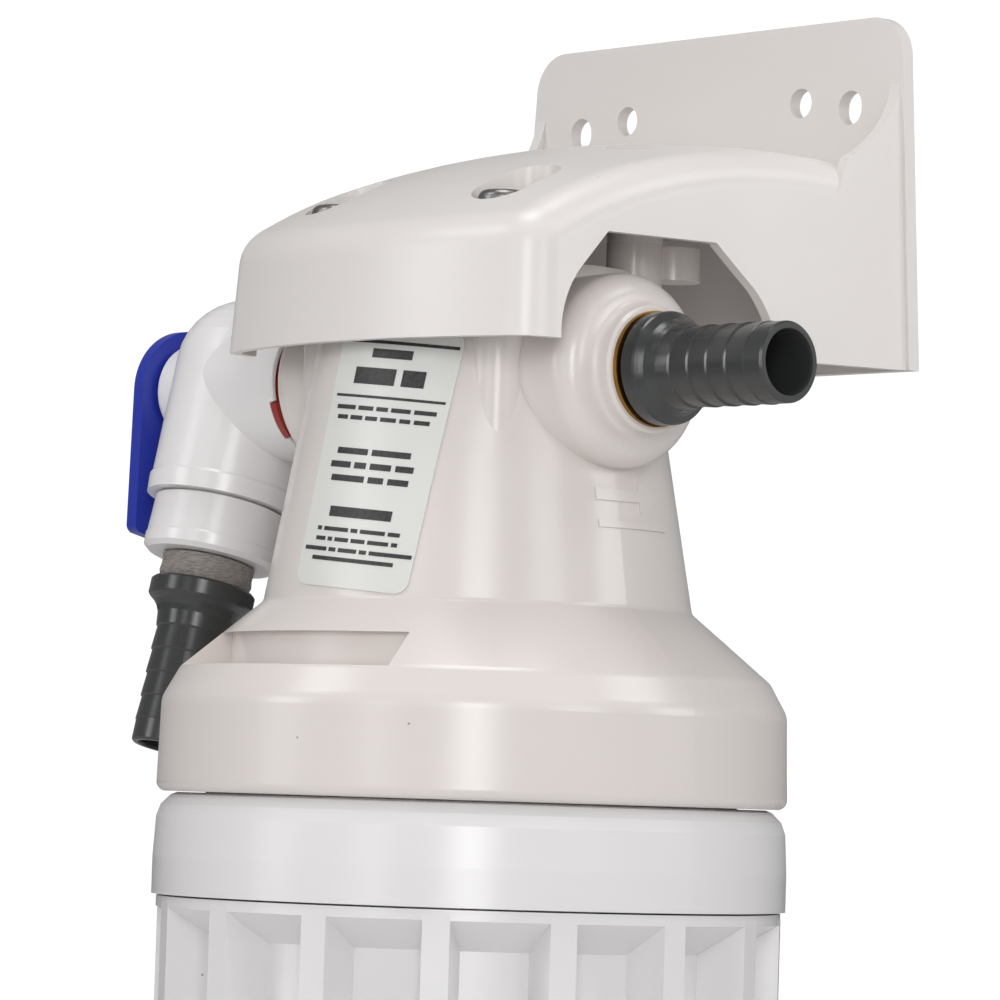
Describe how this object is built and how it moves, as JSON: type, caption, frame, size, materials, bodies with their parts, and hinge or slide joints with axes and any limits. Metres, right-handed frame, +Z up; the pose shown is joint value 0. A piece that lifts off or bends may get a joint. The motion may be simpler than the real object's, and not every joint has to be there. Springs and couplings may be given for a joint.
{
  "type": "wall-mounted inline water filter",
  "caption": "Quick-twist water filter: hooded wall bracket, moulded head with barbed outlet and angle ball valve, ribbed screw-in cartridge.",
  "frame": {"origin": "on the back face of the wall plate, midway between the two round screw holes", "axes": "+Y into the wall, -Y to the front, +X toward the outlet, -X toward the inlet valve, +Z up along the cartridge axis"},
  "size_m": [0.1718, 0.1202, 0.4931],
  "materials": {
    "head": "satin",
    "bracket": "satin",
    "screw": "satin",
    "label": "satin",
    "brass": "satin",
    "barb": "satin",
    "tape": "matt",
    "nipple": "satin",
    "ring": "satin",
    "valve": "gloss",
    "seat": "satin",
    "ball": "gloss",
    "stem": "gloss",
    "seal": "matt",
    "handle": "gloss",
    "cartridge": "gloss",
    "insert": "satin",
    "carbon": "matt",
    "wrap": "matt"
  },
  "bodies": {
    "mount_assembly": {"filter_head": "head", "wall_bracket": "bracket", "bracket_screws": "screw", "rating_label": "label", "outlet_thread_insert": "brass", "inlet_thread_insert": "brass", "outlet_barb": "barb", "inlet_barb": "barb", "thread_tape": "tape", "inlet_nipple": "nipple", "lock_ring": "ring", "inlet_valve_body": "valve", "valve_retaining_cap": "valve", "branch_seat": "seat", "port_seat": "seat", "stem_gland": "valve"},
    "valve_lever": {"valve_handle": "handle", "handle_screw": "screw", "valve_stem": "stem", "stem_o_ring": "seal", "valve_ball": "ball"},
    "cartridge": {"cartridge_cap": "cartridge", "cartridge_shell": "cartridge", "plug_o_ring_lower": "seal", "plug_o_ring_upper": "seal", "nozzle_o_ring": "seal", "spigot_o_ring": "seal", "block_top_cap": "insert", "block_bottom_cap": "insert", "carbon_block": "carbon", "prefilter_wrap": "wrap", "core_tube": "insert"}
  },
  "joints": [
    {"name": "valve_turn", "type": "hinge", "parent": "mount_assembly", "child": "valve_lever", "pos_m": [-0.0695, -0.061, -0.05675], "axis": [-1, 0, 0], "range_deg": [0, 90]},
    {"name": "cartridge_twist", "type": "hinge", "parent": "mount_assembly", "child": "cartridge", "pos_m": [0, -0.061, -0.136], "axis": [0, 0, -1], "range_deg": [0, 90]}
  ]
}
